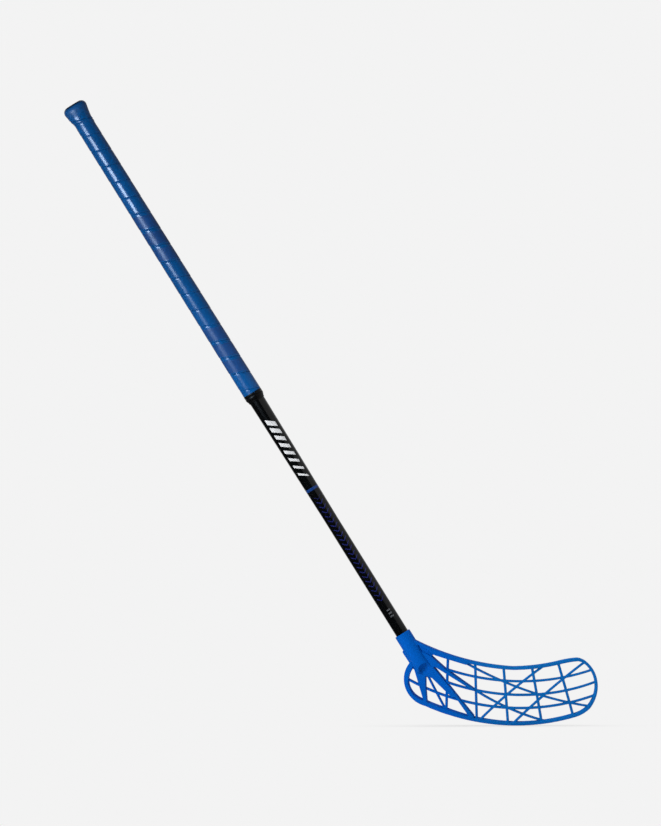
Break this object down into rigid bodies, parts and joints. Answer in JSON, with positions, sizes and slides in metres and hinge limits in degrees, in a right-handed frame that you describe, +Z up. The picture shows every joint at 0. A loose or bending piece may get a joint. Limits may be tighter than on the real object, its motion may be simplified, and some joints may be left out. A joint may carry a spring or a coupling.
{
  "type": "floorball stick",
  "caption": "Straight composite shaft with a wound cushioned grip, a flared butt knob and a hooked open-lattice blade, for playing a light ball along the floor.",
  "frame": {"origin": "on the shaft's axis in the middle of the wound grip", "axes": "+Z up with the blade's sole level on the floor, +X towards the blade's toe, +Y to the side the toe hooks to"},
  "size_m": [0.7583, 0.0571, 0.8886],
  "materials": {
    "shaft": "black gloss lacquer over fibre composite",
    "plug": "moulded black plastic",
    "grip": "satin blue polyurethane foam tape",
    "band": "matt black rubber",
    "glue": "cured hot-melt glue",
    "screws": "zinc-plated steel",
    "blade": "semi-matt moulded blue polyethylene blend"
  },
  "bodies": {
    "root": {"shaft_tube": "shaft", "butt_plug": "plug", "grip_tape": "grip", "grip_end_band": "band", "adhesive_sleeve": "glue", "upper_blade_screw": "screws", "lower_blade_screw": "screws", "blade": "blade"}
  },
  "joints": []
}
